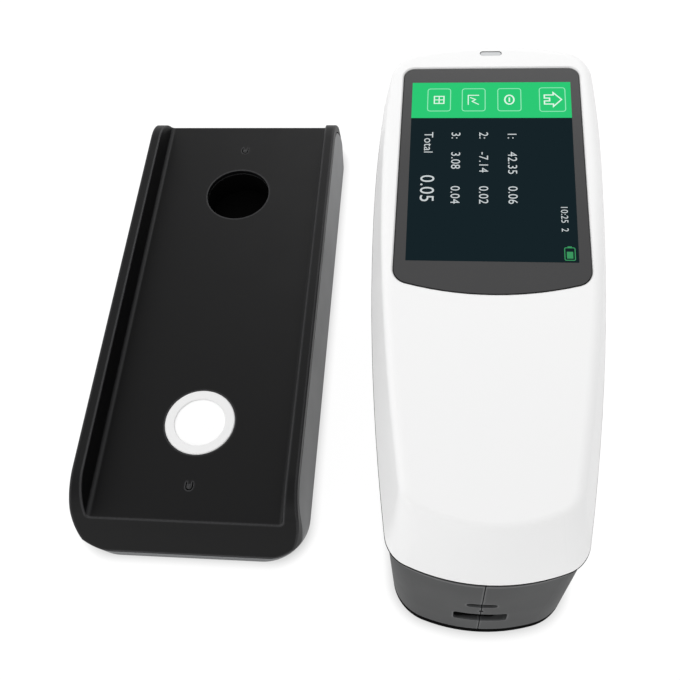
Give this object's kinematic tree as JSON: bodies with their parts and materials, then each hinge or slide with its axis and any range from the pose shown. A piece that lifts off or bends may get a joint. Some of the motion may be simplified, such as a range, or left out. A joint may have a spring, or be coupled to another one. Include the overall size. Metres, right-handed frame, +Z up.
{
  "type": "portable spectrophotometer",
  "caption": "Handheld bench colour instrument with a display, a base aperture and a power slider, beside its calibration cradle with a white tile and a dark trap",
  "frame": {"origin": "centre of the instrument's underside, on the bench; the cradle stands beside it towards -X", "axes": "+Z up from the bench; +Y along the instrument from the tail with the sockets to the display end; +X to the right when the display is read"},
  "size_m": [0.1861, 0.2266, 0.1041],
  "materials": {
    "white_plastic": "fine satin",
    "grey_plastic": "satin",
    "black_plastic": "fine texture",
    "tray_plastic": "fine texture",
    "shell_plastic": "satin",
    "window_glass": "printed border, glossy",
    "display": "lit liquid crystal",
    "indicator": "frosted",
    "circuit_board": "solder resist",
    "steel": "plain",
    "aluminium": "machined",
    "cell_wrap": "shrink sleeve",
    "sphere_coat": "diffuse white",
    "tile_ceramic": "glazed",
    "tile_rim": "smooth",
    "optical_glass": "polished",
    "mirror_coat": "polished",
    "rubber": "matte",
    "foam": "open foam"
  },
  "bodies": {
    "instrument": {"top_cover": "white_plastic", "casing_left": "grey_plastic", "casing_right": "grey_plastic", "base_plate": "black_plastic", "base_pads": "rubber", "base_screws": "steel", "display_window": "window_glass", "display_panel": "display", "display_carrier": "steel", "carrier_screws": "steel", "light_pipe": "indicator", "button_switch": "black_plastic", "button_bracket": "steel", "power_switch": "steel", "usb_socket": "steel", "connector_board": "circuit_board", "chassis": "black_plastic", "main_board": "circuit_board", "buzzer": "black_plastic", "battery_pack": "cell_wrap", "battery_strap": "steel", "strap_screws": "steel", "sphere_upper": "sphere_coat", "sphere_lower": "sphere_coat", "sphere_screws": "steel", "lamp_board": "circuit_board", "lens_tube": "aluminium", "collecting_lens": "optical_glass", "spectrometer_body": "aluminium", "spectrometer_lid": "aluminium", "lid_screws": "steel", "fold_mirror": "mirror_coat", "entrance_slit": "steel", "concave_grating": "mirror_coat", "sensor_board": "circuit_board"},
    "button": {"measure_button": "black_plastic", "button_plunger": "white_plastic"},
    "slider": {"power_slider": "black_plastic"},
    "aperture": {"aperture_ring": "black_plastic"},
    "cradle": {"cradle_tray": "tray_plastic", "cradle_shell": "shell_plastic", "cradle_base": "black_plastic", "cradle_screws": "steel", "cradle_pads": "rubber", "tile_ring": "tile_rim", "white_tile": "tile_ceramic", "tile_foam": "foam", "tile_holder": "black_plastic", "black_trap": "black_plastic"}
  },
  "joints": [
    {"name": "measure_press", "type": "slide", "parent": "instrument", "child": "button", "axis": [1, 0, 0], "range_m": [0, 0.0008], "stiffness_N_per_m": 900, "springref_m": -0.0008},
    {"name": "power_slide", "type": "slide", "parent": "instrument", "child": "slider", "axis": [1, 0, 0], "range_m": [0, 0.004]},
    {"name": "aperture_twist", "type": "hinge", "parent": "instrument", "child": "aperture", "pos_m": [0, 0.0555, 0], "axis": [0, 0, 1], "range_deg": [0, 30]},
    {"name": "cradle_lift", "type": "slide", "parent": "instrument", "child": "cradle", "axis": [0, 0, 1], "range_m": [0, 0.06]}
  ]
}
